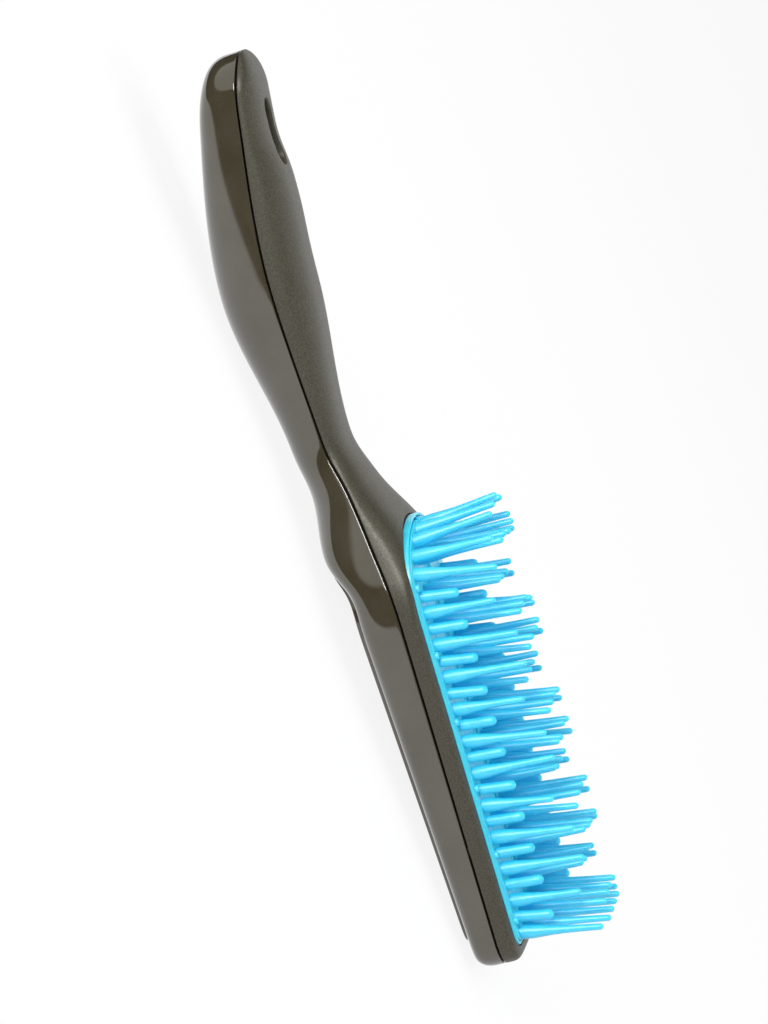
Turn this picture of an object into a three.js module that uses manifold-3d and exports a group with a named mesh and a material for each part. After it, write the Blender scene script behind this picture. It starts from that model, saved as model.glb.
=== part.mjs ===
// Vent brush with a two-shell handle, lying on its back with the pins up.
// Millimetres, +Z up, +X from the tip to the handle end, +Y to the right of a hand that holds it.
// Pieces are drawn in head axes: x = 0 at the tip, z = 0 on the seam of the head.
import * as THREE from 'three';
import { mergeVertices } from 'three/addons/utils/BufferGeometryUtils.js';
import Module from 'manifold-3d';

const wasm = await Module();
wasm.setup();

// Lengths along the brush, each from the station before it
const headLength = 88;
const panelBendRun = 8;
const collarRun = 9;
const shoulderRun = 17;
const neckRun = 10;
const bellyRun = 40;
const crestRun = 15;
const thumbRun = 11;
const dishRun = 11;
const gripRun = 7.5;
const endRun = 13;

const xBend = headLength + panelBendRun;
const xCollar = xBend + collarRun;
const xShoulder = xCollar + shoulderRun;
const xNeck = xShoulder + neckRun;
const xBelly = xNeck + bellyRun;
const xCrest = xBelly + crestRun;
const xThumb = xCrest + thumbRun;
const xDish = xThumb + dishRun;
const xGrip = xDish + gripRun;
const xEnd = xGrip + endRun;

// Half widths of the body at the seam
const headHalfWidth = 25;
const collarHalfWidth = 20.5;
const shoulderHalfWidth = 14;
const neckHalfWidth = 11;
const bellyHalfWidth = 14.2;
const gripHalfWidth = 13.2;
const endHalfWidth = 12.8;

// How far the seam drops below the head's, on its way through the handle
const bendDrop = 0.45;
const collarDrop = 2.15;
const shoulderDrop = 5.6;
const neckDrop = 8.5;
const bellyDrop = 9.35;
const gripDrop = 4.5;
const endDrop = 2;

// Depth of the back below the seam, and height of the front above it
const tipDepth = 7.5;
const headDepth = 11.5;
const bendDepth = 11.2;
const collarDepth = 14.7;
const shoulderDepth = 11;
const neckDepth = 9.9;
const bellyDepth = 15;
const gripDepth = 11.4;
const endDepth = 9.6;
const headHeight = 4.8;
const collarHeight = 7.9;
const shoulderHeight = 4.5;
const neckHeight = 4.4;
const bellyHeight = 8.5;
const crestHeight = 8.7;
const thumbHeight = 7.8;
const dishHeight = 5.2;
const gripHeight = 4.8;
const endHeight = 3.4;

// Squareness of the sections: 2 is an ellipse, more is boxier
const headBackSquareness = 5;
const handleBackSquareness = 2.2;
const headFrontSquareness = 8;
const collarFrontSquareness = 4;
const shoulderFrontSquareness = 2.3;
const handleFrontSquareness = 2.8;

// Rounding of the two ends
const endRound = 10;
const endBackSquareness = 3.4;
const endFrontSquareness = 1.8;
const tipCornerRadius = 7;
const tipEdgeRadius = 3.7;

// Walls and clearances
const wall = 2;
const seamGap = 0.6;
const clearance = 0.3;

// Bristle pad: a rim round a thin floor, with the pins standing on two beds inside the rim
const padHalfWidth = 22.3;
const padTipInset = 3.8;
const padNeckReach = 4.7;
const padArchRun = 14.7;
const padCornerRadius = 3.5;
const padRimWidth = 0.8;
const padProud = 0.2;
const padLift = 1.2;
const padFloor = 0.8;
const bedThickness = 0.9;
const bedAboveRim = 0.3;
const gridThickness = 1;
const ledgeWidth = 2.6;

// Pins: long tapered ones, and short posts between them in the outer columns
const pinColumns = 6;
const pinColumnPitch = 7;
const pinRowPitch = 4.1;
const firstRowInset = 2.4;
const longPinLength = 20.4;
const lowPinLength = 17.4;
const innerPinExtra = 1.2;
const longPinRootDiameter = 3.5;
const longPinShaftDiameter = 1.7;
const longPinTaperRun = 9;
const shortPinLength = 9.3;
const shortPinDiameter = 2.8;
const pinSides = 6;
const pinRootDepth = 0.5;
const leanAtTip = 9.5;
const leanAlongHead = 6;
const leanAtNeck = -3;
const leanRun = 12;
const archPinCount = 8;
const archPinSweep = 150;
const archPinInset = 3.3;
const archPinGap = 3.9;

// Vent slots on the centre line, through pad, grid, back shell and back panel
const ventCount = 5;
const ventPitch = 17;
const ventLength = 13;
const ventWidth = 3;
const ventStart = 8.5;

// Back panel, set in a recess of the back shell
const panelHalfWidth = 19.5;
const panelTipInset = 7;
const panelArchRun = 14;
const panelNeckReach = 1;
const panelCornerRadius = 4;
const panelProud = 0.7;
const recessDepth = 1.5;

// Screws under the panel, from the back shell into the bosses of the grid
const screwTipInset = 17;
const screwSpacing = 66;
const screwPadInset = 8.3;
const screwHeadDiameter = 5.4;
const screwHeadHeight = 1.1;
const screwShankDiameter = 2.4;
const screwShankLength = 5.4;
const screwSeatHeight = 1.4;
const screwSeatDiameter = 8.6;
const gridBossDiameter = 6;

// Pegs that locate the two shells in the handle
const pegDiameter = 4;
const pegEngagement = 4;
const socketWall = 1.6;
const pegInsets = [22, 54];

// Hang hole through the handle end
const hangHoleLength = 16.5;
const hangHoleWidth = 6.5;
const hangHoleInset = 21;
const hangHoleWall = 1.8;

// Fineness of the faceted surfaces
const bodySteps = 18;
const hollowBodySteps = 9;
const endCover = 0.96;
const archCover = 0.95;
const sectionSteps = 17;
const hollowSteps = 10;
const postSides = 10;
const arcSteps = 7;

// A smooth line through [x, value] points that never overshoots them
function smoothLine(points) {
  const slopes = points.map((point, i) => {
    if (i === 0 || i === points.length - 1) {
      return 0;
    }
    const before = (point[1] - points[i - 1][1]) / (point[0] - points[i - 1][0]);
    const after = (points[i + 1][1] - point[1]) / (points[i + 1][0] - point[0]);
    return before * after <= 0 ? 0 : (2 * before * after) / (before + after);
  });
  return (x) => {
    if (x <= points[0][0]) {
      return points[0][1];
    }
    const i = Math.min(points.findLastIndex((point) => point[0] <= x), points.length - 2);
    const run = points[i + 1][0] - points[i][0];
    const t = Math.min((x - points[i][0]) / run, 1);
    const hold = 2 * t ** 3 - 3 * t ** 2 + 1;
    const rise = t ** 3 - 2 * t ** 2 + t;
    const fall = t ** 3 - t ** 2;
    return hold * points[i][1] + (1 - hold) * points[i + 1][1]
      + run * (rise * slopes[i] + fall * slopes[i + 1]);
  };
}

const halfWidthLine = smoothLine([
  [headLength, headHalfWidth], [xCollar, collarHalfWidth], [xShoulder, shoulderHalfWidth],
  [xNeck, neckHalfWidth], [xBelly, bellyHalfWidth], [xGrip, gripHalfWidth], [xEnd, endHalfWidth],
]);
const seamLine = smoothLine([
  [headLength, 0], [xBend, -bendDrop], [xCollar, -collarDrop], [xShoulder, -shoulderDrop],
  [xNeck, -neckDrop], [xBelly, -bellyDrop], [xGrip, -gripDrop], [xEnd, -endDrop],
]);
const depthPastHead = smoothLine([
  [headLength, headDepth], [xBend, bendDepth], [xCollar, collarDepth], [xShoulder, shoulderDepth],
  [xNeck, neckDepth], [xBelly, bellyDepth], [xGrip, gripDepth], [xEnd, endDepth],
]);
const heightLine = smoothLine([
  [headLength, headHeight], [xCollar, collarHeight], [xShoulder, shoulderHeight],
  [xNeck, neckHeight], [xBelly, bellyHeight], [xCrest, crestHeight], [xThumb, thumbHeight],
  [xDish, dishHeight], [xGrip, gripHeight], [xEnd, endHeight],
]);
const frontSquarenessLine = smoothLine([
  [headLength, headFrontSquareness], [xCollar, collarFrontSquareness],
  [xShoulder, shoulderFrontSquareness], [xNeck, handleFrontSquareness], [xEnd, handleFrontSquareness],
]);
const headShare = smoothLine([[headLength, 1], [xShoulder, 0]]);

// The back of the head is straight, so that the panel on it is flat
function depthLine(x) {
  const headSlope = (headDepth - tipDepth) / headLength;
  return x < headLength ? tipDepth + headSlope * x : depthPastHead(x);
}

const backZ = (x) => seamLine(x) - depthLine(x);

// Share of the full section left inside the rounded handle end
function endShare(x, end, squareness) {
  const into = Math.min(Math.max(x - (end - endRound), 0) / endRound, 1);
  return (1 - into ** squareness) ** (1 / squareness);
}

// What a corner of the given radius takes off at a distance from the tip
function cornerLoss(distance, radius) {
  const left = radius - Math.min(Math.max(distance, 0), radius);
  return radius - Math.sqrt(radius * radius - left * left);
}

// One half section of the body: points from the right seam over to the left seam
function halfSection(x, { inset, floor, side, end, tip, steps }) {
  const fromTip = x - tip;
  const halfWidth = (halfWidthLine(x) - inset) * endShare(x, end, 2)
    - cornerLoss(fromTip, Math.max(tipCornerRadius - inset, wall));
  const full = (side < 0 ? depthLine(x) : heightLine(x)) - floor(x);
  const share = endShare(x, end, side < 0 ? endBackSquareness : endFrontSquareness);
  const reach = full * share - cornerLoss(fromTip, Math.min(tipEdgeRadius, full / 2));
  const squareness = side < 0
    ? handleBackSquareness + (headBackSquareness - handleBackSquareness) * headShare(x)
    : frontSquarenessLine(x);
  const points = [];
  for (let i = 0; i <= steps; i += 1) {
    const angle = (Math.PI * i) / steps;
    const across = Math.sign(Math.cos(angle)) * Math.abs(Math.cos(angle)) ** (2 / squareness);
    const up = Math.sin(angle) ** (2 / squareness);
    points.push([halfWidth * across, seamLine(x) + side * reach * up]);
  }
  return points;
}

// Places along the body where sections are taken, closer together where it bends
function bodyStations(tip, end, handleSteps) {
  const stations = [];
  const tipSteps = 4;
  for (let i = 0; i <= tipSteps; i += 1) {
    stations.push(tip + tipCornerRadius * (1 - Math.cos((Math.PI * i) / (2 * tipSteps))));
  }
  const handleEnd = end - endRound;
  for (let i = 0; i <= handleSteps; i += 1) {
    stations.push(headLength + ((handleEnd - headLength) * i) / handleSteps);
  }
  const endSteps = 5;
  for (let i = 1; i <= endSteps; i += 1) {
    stations.push(handleEnd + endRound * Math.sin((Math.PI * endCover * i) / (2 * endSteps)));
  }
  return stations;
}

// A closed skin over sections that have equal numbers of points, in planes across X
function loft(stations, section) {
  const rings = stations.map((x) => section(x).map(([y, z]) => new THREE.Vector3(x, y, z)));
  const count = rings[0].length;
  const index = [];
  for (let ring = 0; ring < rings.length - 1; ring += 1) {
    for (let i = 0; i < count; i += 1) {
      const a = ring * count + i;
      const b = ring * count + ((i + 1) % count);
      index.push(a, b, a + count, b, b + count, a + count);
    }
  }
  const last = (rings.length - 1) * count;
  for (let i = 1; i < count - 1; i += 1) {
    index.push(0, i + 1, i, last, last + i, last + i + 1);
  }
  const geometry = new THREE.BufferGeometry().setFromPoints(rings.flat());
  geometry.setIndex(index);
  return geometry;
}

// A three.js geometry as a solid that can be joined and cut
function solid(geometry) {
  const plain = new THREE.BufferGeometry();
  plain.setAttribute('position', geometry.getAttribute('position').clone());
  plain.setIndex(geometry.getIndex());
  const merged = mergeVertices(plain, 1e-5);
  const corners = Array.from(merged.getIndex().array);
  const kept = [];
  for (let i = 0; i < corners.length; i += 3) {
    const [a, b, c] = corners.slice(i, i + 3);
    if (a !== b && b !== c && c !== a) {
      kept.push(a, b, c);
    }
  }
  const made = new wasm.Manifold(new wasm.Mesh({
    numProp: 3,
    vertProperties: new Float32Array(merged.getAttribute('position').array),
    triVerts: new Uint32Array(kept),
  }));
  return made.volume() < 0 ? solid(geometry.clone().setIndex(kept.reverse())) : made;
}

const join = (solids) => solids.reduce((all, one) => all.add(one));

// An upright prism over a flat outline
function prism(shape, low, high) {
  const geometry = new THREE.ExtrudeGeometry(shape, {
    depth: high - low, bevelEnabled: false, curveSegments: arcSteps,
  });
  return solid(geometry.translate(0, 0, low));
}

// An upright cylinder
function post(x, y, low, high, diameter) {
  const geometry = new THREE.CylinderGeometry(diameter / 2, diameter / 2, high - low, postSides);
  geometry.rotateX(Math.PI / 2);
  return solid(geometry.translate(x, y, (low + high) / 2));
}

// Half width of an outline with straight sides, rounded tip corners and an arched neck end
function archHalf(x, { tip, neck, halfWidth, arch, corner }, inset) {
  const into = Math.min(Math.max(x - (neck - arch), 0) / (arch - inset), 1);
  return (halfWidth - inset) * Math.sqrt(1 - into * into)
    - cornerLoss(x - tip - inset, Math.max(corner - inset, clearance));
}

// Places along such an outline, close together in its corners and its arch
function archStations({ tip, neck, arch, corner }, inset) {
  const radius = Math.max(corner - inset, clearance);
  const stations = [];
  for (let i = 0; i <= arcSteps; i += 1) {
    stations.push(tip + inset + radius * (1 - Math.cos((Math.PI * i) / (2 * arcSteps))));
  }
  stations.push(headLength);
  for (let i = 0; i <= arcSteps; i += 1) {
    const turn = (Math.PI * archCover * i) / (2 * arcSteps);
    stations.push(neck - arch + (arch - inset) * Math.sin(turn));
  }
  return stations;
}

// A slot with round ends, along X
function slotOutline(x, length, width) {
  const run = (length - width) / 2;
  const shape = new THREE.Shape();
  shape.absarc(x + run, 0, width / 2, -Math.PI / 2, Math.PI / 2, false);
  shape.absarc(x - run, 0, width / 2, Math.PI / 2, Math.PI * 1.5, false);
  return shape;
}

const padOutline = {
  tip: padTipInset,
  neck: xCollar + padNeckReach,
  halfWidth: padHalfWidth,
  arch: padArchRun,
  corner: padCornerRadius,
};
const panelOutline = {
  tip: panelTipInset,
  neck: xCollar - panelNeckReach,
  halfWidth: panelHalfWidth,
  arch: panelArchRun,
  corner: panelCornerRadius,
};

// Levels of the layers in the head, from the pad down to the ledge that carries them
const rimTop = headHeight + padProud;
const bedTop = rimTop + bedAboveRim;
const bedBottom = bedTop - bedThickness;
const padFloorTop = bedBottom - clearance;
const padBottom = padFloorTop - padFloor;
const gridTop = padBottom - clearance;
const gridBottom = gridTop - gridThickness;
const ledgeTop = gridBottom - clearance;
const far = 100;

const screwPlaces = [];
for (const x of [screwTipInset, screwTipInset + screwSpacing]) {
  for (const y of [screwPadInset - padHalfWidth, padHalfWidth - screwPadInset]) {
    screwPlaces.push({ x, y, seat: backZ(x) + recessDepth + screwHeadHeight + clearance });
  }
}
const screwSeatTop = (place) => place.seat + screwSeatHeight;

const pegPlaces = pegInsets.map((inset) => xNeck + inset);
const hangHoleX = xEnd - hangHoleInset;

// The pad and what carries it rise a little towards the neck
function liftLine(x) {
  const into = Math.max(x - headLength, 0) / (padOutline.neck - headLength);
  return padLift * into * into;
}

// A plate of the pad's outline between two levels
function padPlate(inset, low, high) {
  return solid(loft(archStations(padOutline, inset), (x) => {
    const half = archHalf(x, padOutline, inset);
    const lift = liftLine(x);
    return [[half, low + lift], [half, high + lift], [-half, high + lift], [-half, low + lift]];
  }));
}

function ventSlots(low, high) {
  const slots = [];
  for (let i = 0; i < ventCount; i += 1) {
    const x = ventStart + ventLength / 2 + i * ventPitch;
    slots.push(prism(slotOutline(x, ventLength, ventWidth), low, high));
  }
  return join(slots);
}

// The outer form of one half of the body, and the hollow inside it
function bodyHalf(side) {
  const open = -side * (seamGap / 2);
  const outer = solid(loft(bodyStations(0, xEnd, bodySteps), (x) => {
    const points = halfSection(x, {
      inset: 0, floor: () => 0, side, end: xEnd, tip: 0, steps: sectionSteps,
    });
    return side > 0 ? points : points.reverse();
  }));
  const seamCut = solid(loft([-far, ...bodyStations(0, xEnd, bodySteps), xEnd + far], (x) => {
    const line = seamLine(x) - open;
    const past = seamLine(x) - side * far;
    const corners = [[far, line], [far, past], [-far, past], [-far, line]];
    return side > 0 ? corners.reverse() : corners;
  }));
  const floor = (x) => (side < 0 ? wall + recessDepth * headShare(x - collarRun) : wall);
  const hollow = solid(loft(bodyStations(wall, xEnd - wall, hollowBodySteps), (x) => {
    const points = halfSection(x, {
      inset: wall, floor, side, end: xEnd - wall, tip: wall, steps: hollowSteps,
    });
    points[0][1] -= side * seamGap;
    points[hollowSteps][1] -= side * seamGap;
    return side > 0 ? points : points.reverse();
  }));
  return { outer: outer.subtract(seamCut), hollow };
}

const hangHole = prism(slotOutline(hangHoleX, hangHoleLength, hangHoleWidth), -far, far);
const hangColumn = prism(
  slotOutline(hangHoleX, hangHoleLength + 2 * hangHoleWall, hangHoleWidth + 2 * hangHoleWall),
  -far,
  far,
);

function makeFrontShell() {
  const { outer, hollow } = bodyHalf(1);
  const ledge = padPlate(-wall, 0, ledgeTop).subtract(padPlate(ledgeWidth, -far, far));
  const pocket = padPlate(-clearance, ledgeTop, far);
  const pegs = pegPlaces.map((x) => (
    post(x, 0, seamLine(x) - pegEngagement, seamLine(x) + heightLine(x) - wall / 2, pegDiameter)
  ));
  const walls = outer.subtract(hollow);
  const inner = join([hangColumn, ledge]).intersect(outer);
  return join([walls, inner, ...pegs]).subtract(pocket).subtract(hangHole);
}

const panelStations = archStations(panelOutline, 0);

function makeBackPanel() {
  const plate = solid(loft(panelStations, (x) => {
    const half = archHalf(x, panelOutline, 0);
    const high = backZ(x) + recessDepth - clearance;
    return [[half, high], [-half, high], [-half, high - far], [half, high - far]];
  }));
  const grown = solid(loft(bodyStations(0, xEnd, bodySteps), (x) => halfSection(x, {
    inset: -panelProud, floor: () => -panelProud, side: -1, end: xEnd, tip: 0, steps: sectionSteps,
  }).reverse()));
  return plate.intersect(grown).subtract(ventSlots(-far, far));
}

function makeBackShell() {
  const { outer, hollow } = bodyHalf(-1);
  const recessStations = [...panelStations];
  recessStations[0] -= clearance;
  recessStations[recessStations.length - 1] += clearance;
  const recess = solid(loft(recessStations, (x) => {
    const inside = Math.min(Math.max(x, panelStations[0]), panelStations.at(-1));
    const half = archHalf(inside, panelOutline, 0) + clearance;
    const floor = backZ(x) + recessDepth;
    return [[half, floor], [-half, floor], [-half, floor - far], [half, floor - far]];
  }));
  const sockets = pegPlaces.map((x) => {
    const top = seamLine(x) - seamGap;
    return post(x, 0, backZ(x) + wall / 2, top, pegDiameter + 2 * (clearance + socketWall));
  });
  const socketBores = pegPlaces.map((x) => {
    const low = seamLine(x) - pegEngagement - clearance;
    return post(x, 0, low, far, pegDiameter + 2 * clearance);
  });
  const seats = screwPlaces.map((place) => (
    post(place.x, place.y, place.seat - screwHeadHeight, screwSeatTop(place), screwSeatDiameter)
  ));
  const seatCuts = screwPlaces.map((place) => join([
    post(place.x, place.y, -far, place.seat, screwHeadDiameter + 2 * clearance),
    post(place.x, place.y, -far, far, screwShankDiameter + 2 * clearance),
  ]));
  const walls = outer.subtract(hollow);
  const inner = join([hangColumn, ...sockets, ...seats]).intersect(outer);
  return join([walls, inner])
    .subtract(join([recess, hangHole, ventSlots(-far, 0), ...socketBores, ...seatCuts]));
}

function makeBristlePad() {
  const body = padPlate(0, padBottom, rimTop);
  const tray = padPlate(padRimWidth, padFloorTop, far);
  return body.subtract(tray).subtract(ventSlots(-far, far));
}

function makeSupportGrid() {
  const plate = padPlate(0, gridBottom, gridTop);
  const bosses = screwPlaces.map((place) => (
    post(place.x, place.y, screwSeatTop(place) + clearance, gridTop - clearance, gridBossDiameter)
  ));
  const bores = screwPlaces.map((place) => (
    post(place.x, place.y, -far, place.seat + screwShankLength, screwShankDiameter + 2 * clearance)
  ));
  return join([plate, ...bosses]).subtract(join([ventSlots(-far, far), ...bores]));
}

function makeScrew(place) {
  const head = screwHeadDiameter / 2;
  const shank = screwShankDiameter / 2;
  const top = place.seat - clearance;
  const profile = [
    [0, top - screwHeadHeight], [head, top - screwHeadHeight], [head, top], [shank, top],
    [shank, top + screwShankLength], [0, top + screwShankLength],
  ].map(([r, z]) => new THREE.Vector2(r, z));
  const geometry = new THREE.LatheGeometry(profile, postSides);
  geometry.rotateX(Math.PI / 2);
  return solid(geometry.translate(place.x, place.y, 0));
}

// Pins lean towards the tip, most of all in the last rows
const firstRow = padTipInset + firstRowInset;
const lastRow = padOutline.neck - archPinInset;
const leanLine = smoothLine([
  [firstRow, leanAtTip], [firstRow + leanRun, leanAlongHead],
  [lastRow - leanRun, leanAlongHead], [lastRow, leanAtNeck],
]);

function makePin(x, y, length, isLong) {
  const root = (isLong ? longPinRootDiameter : shortPinDiameter) / 2;
  const shaft = (isLong ? longPinShaftDiameter : shortPinDiameter) / 2;
  const profile = [[0, -pinRootDepth], [root, -pinRootDepth]];
  if (isLong) {
    profile.push([shaft, longPinTaperRun]);
  }
  profile.push([shaft, length - shaft], [0, length]);
  const outline = profile.map(([r, z]) => new THREE.Vector2(r, z));
  const geometry = new THREE.LatheGeometry(outline, pinSides);
  geometry.rotateX(Math.PI / 2);
  geometry.rotateY(-THREE.MathUtils.degToRad(leanLine(x)));
  return solid(geometry.translate(x, y, bedTop + liftLine(x)));
}

// Long pins stand in a row along the arch, and the straight columns stop short of it.
// In the outer columns they take turns with short posts, and the inner ones stand beside the posts.
const archPinBend = padOutline.neck - padArchRun;
const archPinRun = padArchRun - archPinInset;
const archPinHalf = padHalfWidth - archPinInset;

const archPinPlaces = [];
for (let i = 0; i < archPinCount; i += 1) {
  const turn = THREE.MathUtils.degToRad(archPinSweep * (i / (archPinCount - 1) - 0.5));
  archPinPlaces.push([archPinBend + archPinRun * Math.cos(turn), archPinHalf * Math.sin(turn)]);
}

function isInsideArch(x, y) {
  const across = Math.min(Math.abs(y) / archPinHalf, 1);
  return x < archPinBend + archPinRun * Math.sqrt(1 - across * across)
    && archPinPlaces.every(([pinX, pinY]) => Math.hypot(pinX - x, pinY - y) > archPinGap);
}

function makeBristleBed(side) {
  const inside = ventWidth / 2 + clearance;
  const band = new THREE.Shape([
    new THREE.Vector2(0, side * inside), new THREE.Vector2(0, side * far),
    new THREE.Vector2(xEnd, side * far), new THREE.Vector2(xEnd, side * inside),
  ]);
  const bed = padPlate(padRimWidth + clearance, bedBottom, bedTop).intersect(prism(band, -far, far));
  const pins = archPinPlaces.filter(([, y]) => Math.sign(y) === side)
    .map(([x, y]) => makePin(x, y, longPinLength, true));
  for (let column = 0; column < pinColumns; column += 1) {
    const y = (column - (pinColumns - 1) / 2) * pinColumnPitch;
    if (Math.sign(y) === side) {
      for (let row = 0; isInsideArch(firstRow + row * pinRowPitch, y); row += 1) {
        const isOuter = column === 0 || column === pinColumns - 1;
        const isBetween = row % 2 === 1;
        const isLow = Math.floor(row / 2) % 3 === 1;
        const longLength = (isLow ? lowPinLength : longPinLength) + (isOuter ? 0 : innerPinExtra);
        const isLong = isOuter ? !isBetween : isBetween || row === 0;
        const x = firstRow + row * pinRowPitch;
        if (isLong || isOuter) {
          pins.push(makePin(x, y, isLong ? longLength : shortPinLength, isLong));
        }
      }
    }
  }
  return join([bed, ...pins]);
}

// Materials
const satinShell = { color: 0x4d4b44, roughness: 0.45, metalness: 0.35 };
const glossShell = { color: 0x3d3a31, roughness: 0.08, metalness: 0.1 };
const blueRubber = { color: 0x36c2f0, roughness: 0.4, metalness: 0 };
const greyPlastic = { color: 0x55565a, roughness: 0.6, metalness: 0 };
const zincSteel = { color: 0xb4b6b8, roughness: 0.35, metalness: 1 };

function node(name, made, finish) {
  const { vertProperties, triVerts } = made.getMesh();
  const geometry = new THREE.BufferGeometry();
  geometry.setAttribute('position', new THREE.BufferAttribute(vertProperties, 3));
  geometry.setIndex(new THREE.BufferAttribute(triVerts, 1));
  geometry.computeVertexNormals();
  const mesh = new THREE.Mesh(geometry, new THREE.MeshStandardMaterial(finish));
  mesh.name = name;
  return mesh;
}

const brush = new THREE.Group();
brush.add(
  node('front_shell', makeFrontShell(), satinShell),
  node('back_shell', makeBackShell(), glossShell),
  node('back_vent_panel', makeBackPanel(), glossShell),
  node('bristle_pad', makeBristlePad(), blueRubber),
  node('bristle_bed_right', makeBristleBed(1), blueRubber),
  node('bristle_bed_left', makeBristleBed(-1), blueRubber),
  node('pad_support_grid', makeSupportGrid(), greyPlastic),
);
screwPlaces.forEach((place, i) => {
  brush.add(node(`shell_screw_${i + 1}`, makeScrew(place), zincSteel));
});

// At rest the brush lies on the tip edge of the panel and on the belly of the handle
const panelTipZ = backZ(panelTipInset) - panelProud;
const restTilt = Math.max(...bodyStations(0, xEnd, bodySteps)
  .filter((x) => x > xCollar)
  .map((x) => Math.atan2(panelTipZ - backZ(x), x - panelTipInset)));
brush.rotation.y = -restTilt;

const lying = new THREE.Group();
lying.add(brush);
lying.updateMatrixWorld(true);
const extent = new THREE.Box3().setFromObject(lying, true);
const middle = extent.getCenter(new THREE.Vector3());
lying.position.set(-middle.x, -middle.y, -extent.min.z);

export default lying;
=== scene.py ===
import math
import bpy
import numpy as np
from mathutils import Matrix, Vector


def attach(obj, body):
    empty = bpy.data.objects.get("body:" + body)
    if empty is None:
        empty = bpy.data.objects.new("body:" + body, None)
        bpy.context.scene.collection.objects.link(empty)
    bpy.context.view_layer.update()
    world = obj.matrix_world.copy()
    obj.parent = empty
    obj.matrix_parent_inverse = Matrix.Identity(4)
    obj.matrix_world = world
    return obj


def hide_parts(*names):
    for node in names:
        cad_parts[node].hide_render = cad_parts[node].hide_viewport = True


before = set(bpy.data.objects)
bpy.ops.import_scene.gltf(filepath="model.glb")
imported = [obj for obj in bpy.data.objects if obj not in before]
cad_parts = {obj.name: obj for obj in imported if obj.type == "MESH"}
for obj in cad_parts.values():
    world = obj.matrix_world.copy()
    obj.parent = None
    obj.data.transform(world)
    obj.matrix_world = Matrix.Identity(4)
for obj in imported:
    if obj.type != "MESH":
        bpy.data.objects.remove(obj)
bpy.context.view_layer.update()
print("frame loaded:", len(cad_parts), "nodes")

# Everything is drawn in head axes, in millimetres: x from the tip, z up from the head's seam
rest = {"tilt": -5.55898, "shift": (-114.18134, 0.0, 7.78554)}
farAway = 60.0      # a level that is clear of the brush on either side


def toFrame(points):
    # head axes to the lying frame: a turn about Y, a shift, and millimetres to metres
    turn = math.radians(rest["tilt"])
    x, y, z = np.moveaxis(np.asarray(points, float), -1, 0)
    lying = np.stack([
        x * math.cos(turn) + z * math.sin(turn) + rest["shift"][0],
        y + rest["shift"][1],
        z * math.cos(turn) - x * math.sin(turn) + rest["shift"][2],
    ], -1)
    return lying / 1000


# Lines along the brush, as (x, value) stations
body = {
    "end": 229.5,
    "headLength": 88.0,
    "halfWidth": [(88, 24.985), (96, 24.1), (105, 20.5), (122, 14), (132, 11), (172, 14.2), (216.5, 13.2),
                  (229.5, 12.8)],
    "seam": [(88, 0), (96, -0.45), (105, -2.15), (122, -5.6), (132, -8.5), (172, -9.35), (216.5, -4.5),
             (229.5, -2)],
    "depth": [(88, 11.5), (96, 11.2), (105, 14.7), (122, 11), (132, 9.9), (172, 14.98), (216.5, 11.4),
              (229.5, 9.6)],
    "height": [(88, 4.8), (105, 7.9), (122, 4.5), (132, 4.4), (172, 8.5), (187, 8.7), (198, 7.8),
               (209, 5.2), (216.5, 4.8), (229.5, 3.4)],
    "backSquareness": [(88, 5), (122, 2.2), (176, 2.2), (214, 3.2)],
    "frontSquareness": [(88, 8), (105, 4), (122, 2.3), (132, 2.8), (229.5, 2.8)],
    "tipDepth": 7.5,
    "tipCorner": 7.0,
    "tipEdge": 3.7,
    "tipSteps": 14,
    "endRound": 10.0,
    "endBackSquareness": 3.4,
    "endFrontSquareness": 1.8,
    "endSideSquareness": 2.0,
    "endSteps": 18,
    "wall": 2.0,
    "seamGap": 0.5,
    "seamRound": 0.25,
    "seamSteps": 6,
}
lines = {"from": -30.0, "to": 260.0, "step": 0.1, "soften": 2.2}
lineX = np.arange(lines["from"], lines["to"], lines["step"])


def stationLine(points, x):
    # cubic between stations, with harmonic-mean slopes so that it never overshoots
    stationX, value = np.array(points, float).T
    secant = np.diff(value) / np.diff(stationX)
    before, after = secant[:-1], secant[1:]
    sameWay = before * after > 0
    slope = np.zeros(len(stationX))
    slope[1:-1] = np.where(sameWay, 2 * before * after / np.where(sameWay, before + after, 1), 0)
    inside = np.clip(x, stationX[0], stationX[-1])
    i = np.clip(np.searchsorted(stationX, inside, side="right") - 1, 0, len(stationX) - 2)
    run = stationX[i + 1] - stationX[i]
    part = (inside - stationX[i]) / run
    hold = 2 * part**3 - 3 * part**2 + 1
    bend = run * ((part**3 - 2 * part**2 + part) * slope[i] + (part**3 - part**2) * slope[i + 1])
    return hold * value[i] + (1 - hold) * value[i + 1] + bend


def softened(values):
    # the line averaged with a bell-shaped weight, cut off at three times its width, so that reflections run
    # on without a break
    reach = int(3 * lines["soften"] / lines["step"])
    weight = np.exp(-0.5 * (np.arange(-reach, reach + 1) * lines["step"] / lines["soften"])**2)
    return np.convolve(np.pad(values, reach, mode="edge"), weight / weight.sum(), "valid")


def bodyLine(name):
    # a softened line as a function of x; the depth grows evenly from the tip to the head's end
    values = stationLine(body[name], lineX)
    if name == "depth":
        slope = (body["depth"][0][1] - body["tipDepth"]) / body["headLength"]
        values = np.where(lineX < body["headLength"], body["tipDepth"] + slope * lineX, values)
    values = softened(values)
    return lambda x: np.interp(x, lineX, values)


halfWidthAt = bodyLine("halfWidth")
seamAt = bodyLine("seam")
depthAt = bodyLine("depth")
heightAt = bodyLine("height")
backSquarenessAt = bodyLine("backSquareness")
frontSquarenessAt = bodyLine("frontSquareness")


def backAt(x):
    # level of the back's lowest line
    return seamAt(x) - depthAt(x)


def endShare(x, end, squareness):
    # share of a size that is left near the handle's end: a quarter of a superellipse
    into = np.clip((x - (end - body["endRound"])) / body["endRound"], 0, 1)
    return (1 - into**squareness)**(1 / squareness)


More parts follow.
